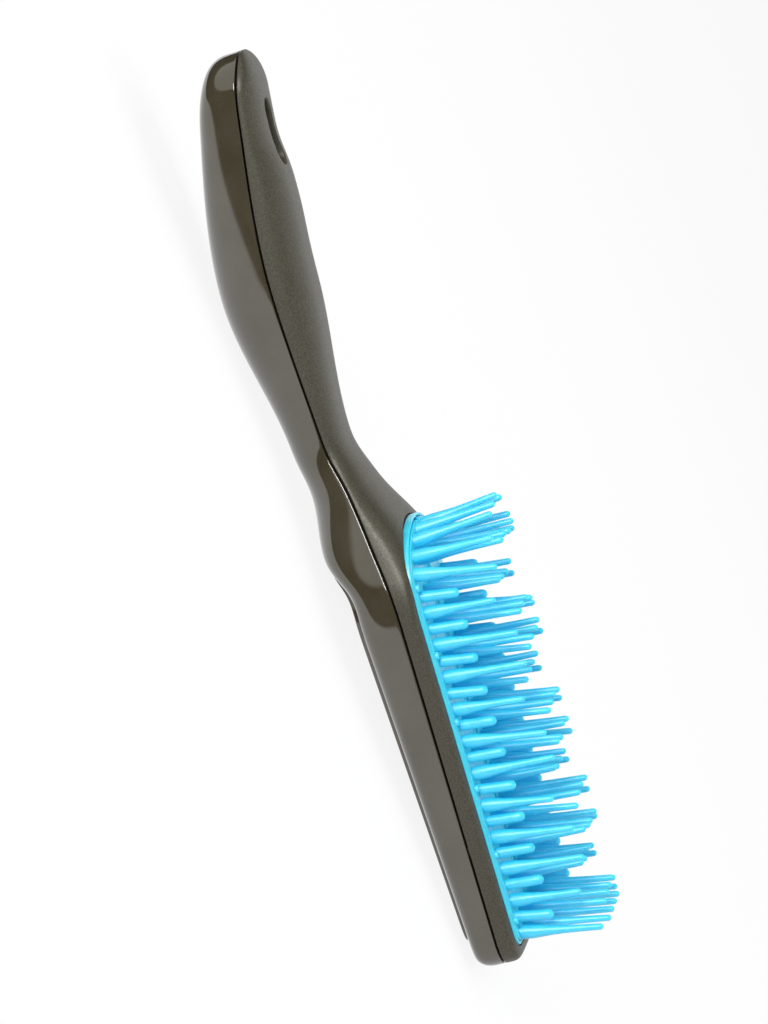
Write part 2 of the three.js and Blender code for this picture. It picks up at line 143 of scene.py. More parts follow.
def cornerLoss(distance, radius):
    # how far a rounded corner falls back at a distance from its edge: a quarter of a circle
    left = np.maximum(radius - distance, 0)
    return radius - np.sqrt(radius**2 - np.minimum(left, radius)**2)


# Mesh helpers
def addMesh(name, points, faces):
    # a mesh object at the origin from points in metres and faces by point number
    mesh = bpy.data.meshes.new(name)
    mesh.from_pydata(np.asarray(points).reshape(-1, 3).tolist(), [], faces)
    mesh.update()
    made = bpy.data.objects.new(name, mesh)
    bpy.context.scene.collection.objects.link(made)
    return made


def gridFaces(rows, columns):
    # quads between neighbouring closed rings; the last column joins the first
    row, column = np.meshgrid(np.arange(rows - 1), np.arange(columns), indexing="ij")
    following = (column + 1) % columns
    quads = np.stack([row * columns + column, row * columns + following,
                      (row + 1) * columns + following, (row + 1) * columns + column], -1)
    return quads.reshape(-1, 4)


def outward(points, faces):
    # the faces turned so that the signed volume inside them is positive
    flat = np.asarray(points).reshape(-1, 3)
    volume = 0.0
    for face in faces:
        corner = flat[face[0]]
        ring = flat[list(face[1:])]
        normals = np.cross(ring[:-1], ring[1:])
        volume += np.einsum("ij,ij->", normals, np.broadcast_to(corner, normals.shape))
    return faces if volume > 0 else [list(face)[::-1] for face in faces]


def loftSolid(name, rings):
    # a closed body: rings of equal count joined by quads, with a flat face at each end
    rows, columns = rings.shape[:2]
    last = (rows - 1) * columns
    faces = gridFaces(rows, columns).tolist()
    faces += [list(range(columns))[::-1], list(range(last, last + columns))]
    placed = toFrame(rings)
    return addMesh(name, placed, outward(placed, faces))


def atLevel(line, level):
    # a flat line as a ring, raised to one level or to a level for each of its points
    return np.column_stack([line, level + np.zeros(len(line))])


def carve(target, tool, operation="DIFFERENCE"):
    # the target's mesh after a boolean with the tool, which is then thrown away
    modifier = target.modifiers.new("carve", "BOOLEAN")
    modifier.operation = operation
    modifier.solver = "MANIFOLD"
    modifier.object = tool
    evaluated = target.evaluated_get(bpy.context.evaluated_depsgraph_get())
    carved = bpy.data.meshes.new_from_object(evaluated)
    old = target.data
    carved.name = old.name
    target.modifiers.clear()
    target.data = carved
    bpy.data.meshes.remove(old)
    used = tool.data
    bpy.data.objects.remove(tool)
    bpy.data.meshes.remove(used)
    return target


def smooth(piece, sharpAngle=34):
    # smooth shading, except over edges that turn by more than an angle in degrees
    piece.data.shade_smooth()
    piece.data.set_sharp_from_angle(angle=math.radians(sharpAngle))
    return piece


def finishPiece(piece, material, slot, *nodes):
    # the piece's material and body, and the CAD nodes that it stands for; the slot is not used
    piece.data.materials.clear()
    piece.data.materials.append(material)
    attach(piece, "root")
    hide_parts(*nodes)
    print("made", piece.name, len(piece.data.polygons), "faces")


# Body halves: side is 1 for the front and -1 for the back
skin = {"stations": 190, "around": 72, "endCover": 0.86, "startLimit": 0.9}
hollow = {"stations": 60, "around": 24, "endCover": 0.9, "frontLedge": 3.3, "backFloor": 1.5, "fade": 17.0,
          "overlap": 1.0}


def bodyStations(tip, end, count, cover):
    # places along the body that crowd in the tip's corner and in a share of the handle's round end
    turn = np.linspace(0, math.pi / 2, body["tipSteps"])
    tipPart = tip + body["tipCorner"] * (1 - np.cos(turn))
    handleEnd = end - body["endRound"]
    middle = np.linspace(tipPart[-1], handleEnd, count)[1:]
    endTurn = np.linspace(0, math.pi / 2 * cover, body["endSteps"])
    return np.concatenate([tipPart, middle, handleEnd + body["endRound"] * np.sin(endTurn)[1:]])


def halfRings(side, x, inset, floor, tip, end, steps, opening, rounding):
    # one half section per station: a superellipse over the seam, with a rounded edge at the seam
    lost = cornerLoss(x - tip, np.maximum(body["tipCorner"] - inset, body["wall"]))
    wide = (halfWidthAt(x) - inset) * endShare(x, end, body["endSideSquareness"]) - lost
    full = (depthAt(x) if side < 0 else heightAt(x)) - floor
    share = endShare(x, end, body["endBackSquareness"] if side < 0 else body["endFrontSquareness"])
    reach = full * share - cornerLoss(x - tip, np.minimum(body["tipEdge"], full / 2))
    power = (backSquarenessAt(x) if side < 0 else frontSquarenessAt(x))[:, None]
    start = np.arcsin(np.clip((opening + rounding) / reach, 0, skin["startLimit"]))
    angle = start[:, None] + (math.pi - 2 * start)[:, None] * np.linspace(0, 1, steps)
    spread = (np.abs(np.cos(angle))**power + np.abs(np.sin(angle))**power)**(-1 / power)
    y = wide[:, None] * spread * np.cos(angle)
    z = reach[:, None] * spread * np.sin(angle)
    if rounding > 0:
        bend = np.linspace(math.pi / 2, 0, body["seamSteps"])[:-1]
        edgeY = y[:, :1] - rounding + rounding * np.cos(bend)
        edgeZ = z[:, :1] - rounding * np.sin(bend)
    else:
        edgeY = y[:, :1]
        edgeZ = np.full_like(edgeY, opening)
    y = np.concatenate([edgeY, y, -edgeY[:, ::-1]], 1)
    z = np.concatenate([edgeZ, z, edgeZ[:, ::-1]], 1)
    return np.stack([np.broadcast_to(x[:, None], y.shape), y, seamAt(x)[:, None] + side * z], -1)


def outerHalf(name, side):
    # the outside of one half, half a seam gap away from the seam
    x = bodyStations(0.0, body["end"], skin["stations"], skin["endCover"])
    rings = halfRings(side, x, 0.0, 0.0, 0.0, body["end"], skin["around"], body["seamGap"] / 2,
                      body["seamRound"])
    return loftSolid(name, rings)


def hollowHalf(name, side):
    # the room inside one half: a wall thickness smaller, and smaller still in the head
    low, high = body["wall"], body["end"] - body["wall"]
    x = bodyStations(low, high, hollow["stations"], hollow["endCover"])
    headPart = 1 - np.clip((x - body["headLength"]) / hollow["fade"], 0, 1)
    inset = body["wall"] + (hollow["frontLedge"] if side > 0 else 0.0) * headPart
    floor = body["wall"] + (hollow["backFloor"] * headPart if side < 0 else 0.0)
    rings = halfRings(side, x, inset, floor, low, high, hollow["around"], -hollow["overlap"], 0.0)
    return loftSolid(name, rings)


# Pad opening, and the levels of the layers in it
pad = {
    "tip": 3.8,
    "neck": 109.7,
    "halfWidth": 22.3,
    "arch": 14.7,
    "corner": 3.5,
    "rim": 0.8,
    "rimTop": 5.0,
    "rimSteps": 9,
    "bottom": 3.3,
    "floorTop": 4.1,
    "lift": 1.2,
    "clearance": 0.3,
    "ledge": 1.7,
    "lip": 0.45,
    "lipDrop": 0.2,
    "lipSteps": 6,
}
outline = {"tipCount": 24, "cornerCount": 10, "sideCount": 60, "archCount": 61, "leastCorner": 0.3}


def archOutline(shape, inset):
    # straight sides, two rounded tip corners and an arched neck end, as one closed line
    low = shape["tip"] + inset
    half = shape["halfWidth"] - inset
    radius = max(shape["corner"] - inset, outline["leastCorner"])
    bend = shape["neck"] - shape["arch"]
    tipEdge = np.linspace(half - radius, radius - half, outline["tipCount"])
    corner = np.linspace(math.pi, 1.5 * math.pi, outline["cornerCount"])[1:]
    side = np.linspace(low + radius, bend, outline["sideCount"])[1:]
    arch = np.linspace(-math.pi / 2, math.pi / 2, outline["archCount"])[1:]
    x = [np.full(len(tipEdge), low), low + radius + radius * np.cos(corner), side,
         bend + (shape["arch"] - inset) * np.cos(arch), side[::-1][1:],
         np.array([low + radius]), low + radius + radius * np.cos(corner[::-1][1:])]
    y = [tipEdge, radius - half + radius * np.sin(corner), np.full(len(side), -half), half * np.sin(arch),
         np.full(len(side) - 1, half), np.array([half]), half - radius - radius * np.sin(corner[::-1][1:])]
    return np.stack([np.concatenate(x), np.concatenate(y)], -1)


def outlineHalfAt(shape, x, inset):
    # half width of an arched outline at a place along the head
    into = np.clip((x - (shape["neck"] - shape["arch"])) / (shape["arch"] - inset), 0, 1)
    radius = max(shape["corner"] - inset, outline["leastCorner"])
    lost = cornerLoss(x - shape["tip"] - inset, radius)
    return (shape["halfWidth"] - inset) * np.sqrt(1 - into**2) - lost


def liftAt(x):
    # how far the pad has risen towards the neck: the square of the share of the way past the head
    into = np.maximum(x - body["headLength"], 0) / (pad["neck"] - body["headLength"])
    return pad["lift"] * into**2


def sweptRings(profile):
    # a profile of (inset, level) pairs carried round the pad's outline and lifted with it
    rings = []
    for inset, level in profile:
        line = archOutline(pad, inset)
        rings.append(atLevel(line, level + liftAt(line[:, 0])))
    return np.array(rings)


def slotLine(x, length, width, count):
    # a slot with round ends along the brush, as one closed line
    run = (length - width) / 2
    turn = np.linspace(-math.pi / 2, math.pi / 2, count)
    alongX = np.concatenate([x + run + width / 2 * np.cos(turn), x - run - width / 2 * np.cos(turn)])
    acrossY = np.concatenate([width / 2 * np.sin(turn), -width / 2 * np.sin(turn)])
    return np.stack([alongX, acrossY], -1)


hangHole = {"x": 208.5, "length": 16.5, "width": 6.5, "wall": 1.8, "round": 0.6, "roundSteps": 7,
            "endSteps": 24, "columnEndSteps": 16}


def surfaceAt(x, y, side):
    # level of the outer surface of one half over a point of the handle
    power = frontSquarenessAt(x) if side > 0 else backSquarenessAt(x)
    tall = heightAt(x) if side > 0 else depthAt(x)
    share = np.clip(np.abs(y) / halfWidthAt(x), 0, 1)
    return seamAt(x) + side * tall * (1 - share**power)**(1 / power)


def hangHoleTool(name):
    # a slot that flares in a quarter round where it meets each surface, from far below to far above
    flare = hangHole["round"]
    turn = np.linspace(0, math.pi / 2, hangHole["roundSteps"])
    quarter = [(flare * (1 - math.cos(angle)), flare * (math.sin(angle) - 1)) for angle in turn]
    rows = [(flare, -farAway, 0)]
    rows += [(grow, -level, -1) for grow, level in quarter[::-1]]
    rows += [(grow, level, 1) for grow, level in quarter]
    rows += [(flare, farAway, 0)]
    rings = []
    for grow, level, side in rows:
        line = slotLine(hangHole["x"], hangHole["length"] + 2 * grow, hangHole["width"] + 2 * grow,
                        hangHole["endSteps"])
        base = surfaceAt(line[:, 0], line[:, 1], side) if side else 0.0
        rings.append(atLevel(line, base + level))
    return loftSolid(name, np.array(rings))


def hangColumn(name):
    # the solid that stays round the hang hole where the handle is hollow
    grow = 2 * hangHole["wall"]
    line = slotLine(hangHole["x"], hangHole["length"] + grow, hangHole["width"] + grow,
                    hangHole["columnEndSteps"])
    return loftSolid(name, np.array([atLevel(line, level) for level in (-farAway, farAway)]))


vents = {"first": 15.0, "pitch": 17.0, "count": 5, "length": 13.0, "width": 3.0, "endSteps": 12,
         "panelTop": 10.0}


def carveVents(target, low, high):
    # a row of slots along the middle of the head, cut between two levels
    for i in range(vents["count"]):
        place = vents["first"] + i * vents["pitch"]
        line = slotLine(place, vents["length"], vents["width"], vents["endSteps"])
        carve(target, loftSolid("ventTool", np.array([atLevel(line, level) for level in (low, high)])))


print("lines and outlines ready")


# Finishes
def newFinish(name):
    # a new material with its shader and its coordinates
    material = bpy.data.materials.new(name)
    material.use_nodes = True
    nodes = material.node_tree.nodes
    return material, nodes["Principled BSDF"], nodes.new("ShaderNodeTexCoord")


def setInputs(material, node, inputs):
    # a node's inputs: each takes a link from a socket, or a plain value
    for key, value in inputs.items():
        if isinstance(value, bpy.types.NodeSocket):
            material.node_tree.links.new(value, node.inputs[key])
        else:
            node.inputs[key].default_value = value


def addNode(material, kind, inputs, **settings):
    # a new node with its settings and inputs
    made = material.node_tree.nodes.new(kind)
    for key, value in settings.items():
        setattr(made, key, value)
    setInputs(material, made, inputs)
    return made


def addRamp(material, value, stops):
    # a colour that runs between stops of (position, colour)
    ramp = addNode(material, "ShaderNodeValToRGB", {"Fac": value})
    elements = ramp.color_ramp.elements
    while len(elements) < len(stops):
        elements.new(0.5)
    for element, (position, colour) in zip(elements, stops):
        element.position = position
        element.color = (*colour, 1)
    return ramp.outputs["Color"]


def addNoise(material, place, size, detail, roughness):
    # cloudy noise in the object's own coordinates
    made = addNode(material, "ShaderNodeTexNoise", {
        "Vector": place.outputs["Object"], "Scale": size, "Detail": detail, "Roughness": roughness})
    return made.outputs["Fac"]


def addRange(material, value, before, after):
    # a value carried from one span to another
    made = addNode(material, "ShaderNodeMapRange", {
        "Value": value, "From Min": before[0], "From Max": before[1],
        "To Min": after[0], "To Max": after[1]})
    return made.outputs["Result"]


def addBump(material, height, distance, strength):
    # a bumped normal from a height
    made = addNode(material, "ShaderNodeBump", {
        "Height": height, "Distance": distance, "Strength": strength})
    return made.outputs["Normal"]


satin = {
    "stops": [(0.32, (0.036, 0.033, 0.021)), (0.72, (0.080, 0.074, 0.052))],
    "speck": {"size": 2600.0, "detail": 2.0, "roughness": 0.6},
    "speckSpan": (0.3, 0.7),
    "rough": (0.5, 0.38),
    "metal": 0.25,
    "specular": 0.5,
    "bump": {"distance": 0.00004, "strength": 0.35},
}


def satinFinish():
    # moulded satin plastic with fine metal flakes in it
    material, shader, place = newFinish("satin_olive_grey")
    speck = addNoise(material, place, **satin["speck"])
    setInputs(material, shader, {
        "Base Color": addRamp(material, speck, satin["stops"]),
        "Roughness": addRange(material, speck, satin["speckSpan"], satin["rough"]),
        "Metallic": satin["metal"],
        "Specular IOR Level": satin["specular"],
        "Normal": addBump(material, speck, **satin["bump"]),
    })
    return material


gloss = {
    "stops": [(0.3, (0.038, 0.031, 0.017)), (0.7, (0.051, 0.043, 0.028))],
    "cloud": {"size": 90.0, "detail": 3.0, "roughness": 0.5},
    "dust": {"size": 1400.0, "detail": 2.0, "roughness": 0.6},
    "dustSpan": (0.35, 0.75),
    "rough": (0.05, 0.11),
    "specular": 1.0,
    "coat": 0.4,
    "coatRough": 0.04,
    "bump": {"distance": 0.00003, "strength": 0.25},
}


def glossFinish():
    # polished plastic: a dark olive body under a clear glossy skin with a faint mould waviness
    material, shader, place = newFinish("gloss_dark_olive")
    cloud = addNoise(material, place, **gloss["cloud"])
    dust = addNoise(material, place, **gloss["dust"])
    setInputs(material, shader, {
        "Base Color": addRamp(material, cloud, gloss["stops"]),
        "Roughness": addRange(material, dust, gloss["dustSpan"], gloss["rough"]),
        "Specular IOR Level": gloss["specular"],
        "Coat Weight": gloss["coat"],
        "Coat Roughness": gloss["coatRough"],
        "Normal": addBump(material, cloud, **gloss["bump"]),
    })
    return material


rubber = {
    "stops": [(0.3, (0.0, 0.53, 0.80)), (0.7, (0.02, 0.60, 0.85))],
    "bloom": {"size": 260.0, "detail": 3.0, "roughness": 0.55},
    "skin": {"size": 2200.0, "detail": 2.0, "roughness": 0.5},
    "skinSpan": (0.3, 0.7),
    "roughLess": 0.04,
    "roughMore": 0.05,
    "padRough": 0.46,
    "pinRough": 0.58,
    "specular": 1.0,
    "coat": 1.0,
    "coatRough": 0.36,
    "translucence": 0.8,
    "lightReach": (0.1, 0.7, 1.0),
    "reachScale": 0.003,
    "bump": {"distance": 0.00002, "strength": 0.2},
}


def rubberFinish(name, rough):
    # soft moulded rubber: even blue with a slight bloom, a fine skin texture and some light inside
    material, shader, place = newFinish(name)
    bloom = addNoise(material, place, **rubber["bloom"])
    skinGrain = addNoise(material, place, **rubber["skin"])
    roughSpan = (rough - rubber["roughLess"], rough + rubber["roughMore"])
    setInputs(material, shader, {
        "Base Color": addRamp(material, bloom, rubber["stops"]),
        "Roughness": addRange(material, skinGrain, rubber["skinSpan"], roughSpan),
        "Specular IOR Level": rubber["specular"],
        "Coat Weight": rubber["coat"],
        "Coat Roughness": rubber["coatRough"],
        "Subsurface Weight": rubber["translucence"],
        "Subsurface Radius": rubber["lightReach"],
        "Subsurface Scale": rubber["reachScale"],
        "Normal": addBump(material, skinGrain, **rubber["bump"]),
    })
    return material


gridGrey = {
    "stops": [(0.3, (0.03, 0.03, 0.033)), (0.7, (0.05, 0.05, 0.055))],
    "grain": {"size": 1800.0, "detail": 3.0, "roughness": 0.6},
    "rough": 0.6,
    "bump": {"distance": 0.00004, "strength": 0.3},
}


def greyPlasticFinish():
    # plain dark grey plastic with a fine grain
    material, shader, place = newFinish("grid_grey")
    grain = addNoise(material, place, **gridGrey["grain"])
    setInputs(material, shader, {
        "Base Color": addRamp(material, grain, gridGrey["stops"]),
        "Roughness": gridGrey["rough"],
        "Normal": addBump(material, grain, **gridGrey["bump"]),
    })
    return material


zinc = {
    "stops": [(0.3, (0.45, 0.46, 0.48)), (0.7, (0.62, 0.63, 0.65))],
    "stain": {"size": 900.0, "detail": 4.0, "roughness": 0.6},
    "stainSpan": (0.3, 0.7),
    "rough": (0.28, 0.45),
    "metal": 1.0,
}


def zincFinish():
    # zinc plating with a faint stain in its colour and its polish
    material, shader, place = newFinish("zinc_plated")
    stain = addNoise(material, place, **zinc["stain"])
    setInputs(material, shader, {
        "Base Color": addRamp(material, stain, zinc["stops"]),
        "Roughness": addRange(material, stain, zinc["stainSpan"], zinc["rough"]),
        "Metallic": zinc["metal"],
    })
    return material


satinOlive = satinFinish()
glossOlive = glossFinish()
padBlue = rubberFinish("pad_blue", rubber["padRough"])
pinBlue = rubberFinish("pin_blue", rubber["pinRough"])
print("finishes ready")


# Front shell
def pocketProfile():
    # the pad's pocket: upright from the ledge, then a quarter round that opens outwards at the top
    wall, lip = -pad["clearance"], pad["lip"]
    top = pad["rimTop"] - pad["lipDrop"]
    turn = np.linspace(0, math.pi / 2, pad["lipSteps"])
    profile = [(wall, pad["ledge"])]
    profile += [(wall - lip * (1 - math.cos(angle)), top - lip + lip * math.sin(angle)) for angle in turn]
    return profile + [(wall - lip, farAway)]


def makeFrontShell():
    # the front half without its hollow, the pad's pocket and the hang hole
    shell = outerHalf("front_shell_skin", 1)
    inside = carve(hollowHalf("frontHollow", 1), hangColumn("frontColumn"))
    carve(shell, inside)
    carve(shell, loftSolid("pocketTool", sweptRings(pocketProfile())))
    carve(shell, hangHoleTool("frontHoleTool"))
    finishPiece(smooth(shell), satinOlive, "front_shell", "front_shell")


makeFrontShell()

# Back shell and the raised panel on it
panel = {
    "tip": 7.0,
    "neck": 104.0,
    "halfWidth": 19.5,
    "arch": 14.0,
    "corner": 4.0,
    "proud": 0.68,
    "recess": 1.5,
    "clearance": 0.3,
    "round": 0.35,
    "tipSteps": 12,
    "sideSteps": 90,
    "archSteps": 34,
    "archCover": 0.99,
    "edgeShare": 0.03,
    "edgeSteps": 7,
    "acrossSteps": 40,
}


def panelStations():
    # places along the panel that crowd at the tip's corners and in most of the arch
    bend = panel["neck"] - panel["arch"]
    tipTurn = np.linspace(0, math.pi / 2, panel["tipSteps"])
    tipPart = panel["tip"] + panel["corner"] * (1 - np.cos(tipTurn))
    straight = np.linspace(tipPart[-1], bend, panel["sideSteps"])[1:]
    archTurn = np.linspace(0, math.pi / 2 * panel["archCover"], panel["archSteps"])
    return np.concatenate([tipPart, straight, bend + panel["arch"] * np.sin(archTurn)[1:]])


def recessTool(name):
    # an upright cut a gap wider than the panel, down to a floor that runs along the back
    line = archOutline(panel, -panel["clearance"])
    floor = backAt(line[:, 0]) + panel["recess"]
    return loftSolid(name, np.array([atLevel(line, -farAway), atLevel(line, floor)]))


def panelRings():
    # sections across the panel: the back's own curve grown by the proud height, with rounded edges
    x = panelStations()
    half = outlineHalfAt(panel, x, 0.0)
    edge = panel["edgeShare"] * (1 - np.cos(np.linspace(0, math.pi / 2, panel["edgeSteps"])))
    flat = 1 - panel["edgeShare"]
    middle = np.linspace(-flat, flat, panel["acrossSteps"])[1:-1]
    share = np.concatenate([-1 + edge, middle, 1 - edge[::-1]])
    y = half[:, None] * share
    power = backSquarenessAt(x)[:, None]
    across = np.abs(y) / (halfWidthAt(x) + panel["proud"])[:, None]
    tall = (depthAt(x) + panel["proud"])[:, None] * (1 - across**power)**(1 / power)
    fromEdge = np.minimum(half[:, None] - np.abs(y), np.minimum(x - x[0], x[-1] - x)[:, None])
    z = seamAt(x)[:, None] - tall + cornerLoss(fromEdge, panel["round"])
    inner = (backAt(x) + panel["recess"] - panel["clearance"])[:, None]
    y = np.concatenate([y[:, :1], y, y[:, -1:]], 1)
    z = np.concatenate([inner, z, inner], 1)
    return np.stack([np.broadcast_to(x[:, None], y.shape), y, z], -1)


def makeBackShell():
    # the back half without its hollow, the panel's recess, the hang hole and the vents
    shell = outerHalf("back_shell_skin", -1)
    inside = carve(hollowHalf("backHollow", -1), hangColumn("backColumn"))
    carve(shell, inside)
    carve(shell, recessTool("recessTool"))
    carve(shell, hangHoleTool("backHoleTool"))
    carveVents(shell, -farAway, 0.0)
    finishPiece(smooth(shell), glossOlive, "back_shell", "back_shell")


def makeBackPanel():
    # the raised panel without the vents
    plate = loftSolid("back_vent_panel_skin", panelRings())
    carveVents(plate, -farAway, vents["panelTop"])
    finishPiece(smooth(plate), glossOlive, "back_panel", "back_vent_panel")


makeBackShell()
makeBackPanel()


# Pad
def makePad():
    # a rim with a half-round top about a thin floor, which the vents run through
    rimRound = pad["rim"] / 2
    turn = np.linspace(0, math.pi, pad["rimSteps"])
    top = pad["rimTop"] - rimRound
    profile = [(0.0, pad["bottom"])]
    profile += [(rimRound * (1 - math.cos(angle)), top + rimRound * math.sin(angle)) for angle in turn]
    profile += [(pad["rim"], pad["floorTop"])]
    tray = loftSolid("bristle_pad_skin", sweptRings(profile))
    carveVents(tray, -farAway, farAway)
    finishPiece(smooth(tray), padBlue, "pad", "bristle_pad")


makePad()

# Pins on their beds
bed = {
    "top": 5.3,
    "thickness": 0.9,
    "inset": 1.1,
    "inner": 1.8,       # half of the open strip over the vents
    "archHalf": 2.6,    # half width at which the arch is cut off
    "tipRound": 2.4,
    "tipSteps": 10,
    "sideSteps": 90,
    "archSteps": 30,
    "shares": [(0, 0.1, 13), (0.1, 0.55, 7), (0.55, 0.68, 9), (0.68, 0.96, 5), (0.96, 1, 6)],
    "edge": 0.35,
    "archEdge": 1.5,    # how much sooner the edge's round ends at the arch
    "lipWidth": 0.9,
    "lipHeight": 0.45,
    "ribY": 14.0,
    "ribWidth": 0.35,
    "ribHeight": 0.3,
    "rise": 2.0,        # over which the lip and the rib start at the tip
}
pins = {
    "columns": 6,
    "columnPitch": 7.0,
    "rows": 30,
    "rowPitch": 4.1,
    "firstRow": 6.2,
    "longLength": 20.35,
    "lowLength": 17.4,
    "innerExtra": 1.2,
    "rootDiameter": 3.5,
    "shaftDiameter": 1.6,
    "shortLength": 9.3,
    "shortDiameter": 2.8,
    "shortTaper": 0.92,
    "rise": [0, 0.08, 0.17, 0.27, 0.38, 0.52, 0.72, 1.0],
    "thin": [0.02, 0, 0.06, 0.3, 0.56, 0.76, 0.9, 1.0],
    "dome": [30, 58, 80],
    "sides": 14,
    "sunk": 0.5,
    "sharpAngle": 48,
    "lean": [(6.2, 9.5), (18.2, 6), (94.4, 6), (106.4, -3)],
    "stray": 3.8,       # degrees of irregular lean
    "strayShare": 0.6,
    "straySeed": 7,
    "calmRows": 3,      # over which the irregular lean starts at the tip
    "archCount": 8,
    "archSweep": 150.0,
    "archInset": 3.3,
    "archGap": 3.9,
}


def bedRings(side):
    # top surface over a grid of x and a share across, with rounded edges, a lip by the vents and a rib
    inset = bed["inset"]
    bend = pad["neck"] - pad["arch"]
    reach = math.asin(math.sqrt(1 - (bed["archHalf"] / (pad["halfWidth"] - inset))**2))
    tipTurn = np.linspace(0, math.pi / 2, bed["tipSteps"])
    tipPart = pad["tip"] + inset + bed["tipRound"] * (1 - np.cos(tipTurn))
    straight = np.linspace(tipPart[-1], bend, bed["sideSteps"])[1:]
    archPart = bend + (pad["arch"] - inset) * np.sin(np.linspace(0, reach, bed["archSteps"]))[1:]
    x = np.concatenate([tipPart, straight, archPart])
    outer = outlineHalfAt(pad, x, inset)
    spans = [np.linspace(low, high, count + 1)[1:] for low, high, count in bed["shares"]]
    share = np.concatenate([[0.0], *spans])
    y = bed["inner"] + (outer[:, None] - bed["inner"]) * share
    fromEnds = np.minimum(x - x[0], (x[-1] - x) * bed["archEdge"])
    drop = cornerLoss(np.minimum(outer[:, None] - y, fromEnds[:, None]), bed["edge"])
    across = np.clip((y - bed["inner"]) / bed["lipWidth"], 0, 1)
    lip = bed["lipHeight"] * np.sin(math.pi * across)**2
    rib = bed["ribHeight"] * np.exp(-((y - bed["ribY"]) / bed["ribWidth"])**2)
    started = np.clip((x - x[0]) / bed["rise"], 0, 1)[:, None]
    z = bed["top"] + liftAt(x)[:, None] - drop + (lip + rib) * started
    low = bed["top"] - bed["thickness"] + liftAt(x)[:, None]
    y = np.concatenate([y[:, :1], y, y[:, -1:]], 1) * side
    z = np.concatenate([low, z, low], 1)
    return np.stack([np.broadcast_to(x[:, None], y.shape), y, z], -1)


def pinTable():
    # place, length and kind of every pin: straight columns, then a row along the arch; long pins stand in
    # every other row, and lower ones in every third pair of rows
    bend = pad["neck"] - pad["arch"]
    run = pad["arch"] - pins["archInset"]
    half = pad["halfWidth"] - pins["archInset"]
    turn = np.radians(pins["archSweep"] * (np.arange(pins["archCount"]) / (pins["archCount"] - 1) - 0.5))
    archX, archY = bend + run * np.cos(turn), half * np.sin(turn)
    row, column = np.meshgrid(np.arange(pins["rows"]), np.arange(pins["columns"]), indexing="ij")
    row, column = row.ravel(), column.ravel()
    x = pins["firstRow"] + row * pins["rowPitch"]
    y = (column - (pins["columns"] - 1) / 2) * pins["columnPitch"]
    across = np.minimum(np.abs(y) / half, 1)
    nearest = np.hypot(archX[:, None] - x, archY[:, None] - y).min(0)
    kept = (x < bend + run * np.sqrt(1 - across**2)) & (nearest > pins["archGap"])
    isOuter = (column == 0) | (column == pins["columns"] - 1)
    isBetween = row % 2 == 1
    isLong = np.where(isOuter, ~isBetween, isBetween | (row == 0))
    kept &= isLong | isOuter
    isLow = (row // 2) % 3 == 1
    longLength = np.where(isLow, pins["lowLength"], pins["longLength"])
    longLength = longLength + np.where(isOuter, 0, pins["innerExtra"])
    length = np.where(isLong, longLength, pins["shortLength"])
    x = np.concatenate([x[kept], archX])
    y = np.concatenate([y[kept], archY])
    length = np.concatenate([length[kept], np.full(len(archX), pins["longLength"])])
    isLong = np.concatenate([isLong[kept], np.ones(len(archX), bool)])
    draw = np.random.default_rng(pins["straySeed"])
    stray = np.clip(draw.normal(0, pins["strayShare"], (2, len(x))), -1, 1) * pins["stray"]
    stray[0] *= np.clip((x - pins["firstRow"]) / (pins["calmRows"] * pins["rowPitch"]), 0, 1)
    return x, y, length, isLong, stray


def pinProfile(length, isLong):
    # radius and height up a pin: a swelling root, a taper, a slim shaft and a domed end
    root = np.where(isLong, pins["rootDiameter"], pins["shortDiameter"]) / 2
    shaft = np.where(isLong, pins["shaftDiameter"], pins["shortDiameter"] * pins["shortTaper"]) / 2
    run = length - shaft
    height = [np.full(len(length), -pins["sunk"])]
    radius = [root]
    for part, share in zip(pins["rise"], pins["thin"]):
        height.append(run * part)
        radius.append(root + (shaft - root) * share)
    for angle in np.radians(pins["dome"]):
        height.append(run + shaft * np.sin(angle))
        radius.append(shaft * np.cos(angle))
    return np.array(radius).T, np.array(height).T


def pinPoints(side):
    # rings of one side's pins: each profile spun, leaned along the brush and swayed across it
    x, y, length, isLong, stray = pinTable()
    mine = np.sign(y) == side
    x, y, length, isLong, stray = x[mine], y[mine], length[mine], isLong[mine], stray[:, mine]
    radius, height = pinProfile(length, isLong)
    angle = np.linspace(0, 2 * math.pi, pins["sides"], endpoint=False)
    spunX, spunY, spunZ = np.broadcast_arrays(
        radius[..., None] * np.cos(angle), radius[..., None] * np.sin(angle), height[..., None])
    lean = np.radians(stationLine(pins["lean"], x) + stray[0])[:, None, None]
    sway = np.radians(stray[1])[:, None, None]
    leanX = spunX * np.cos(lean) - spunZ * np.sin(lean)
    leanZ = spunX * np.sin(lean) + spunZ * np.cos(lean)
    swayY = spunY * np.cos(sway) - leanZ * np.sin(sway)
    swayZ = spunY * np.sin(sway) + leanZ * np.cos(sway)
    base = np.stack([x, y, bed["top"] + liftAt(x)], -1)[:, None, None]
    return base + np.stack([leanX, swayY, swayZ], -1)


def pinField(side):
    # all pins of one side in one mesh: quads up each pin, and a flat face at its foot and on its dome
    points = pinPoints(side)
    count, rows, columns = points.shape[:3]
    perPin = rows * columns
    offsets = np.arange(count) * perPin
    quads = (gridFaces(rows, columns)[None] + offsets[:, None, None]).reshape(-1, 4)
    bottoms = np.arange(columns)[::-1][None] + offsets[:, None]
    tops = np.arange(perPin - columns, perPin)[None] + offsets[:, None]
    return addMesh("pinField", toFrame(points), quads.tolist() + bottoms.tolist() + tops.tolist())


# Small round studs along the beds' outer margin, each with a dimple in its top
studs = {
    "first": 10.0,
    "pitch": 17.0,
    "count": 6,
    "y": 20.2,
    "radius": [0.9, 0.9, 0.8, 0.64, 0.46, 0.25],
    "height": [-0.5, 0.45, 0.66, 0.7, 0.5, 0.44],
    "sides": 20,
}


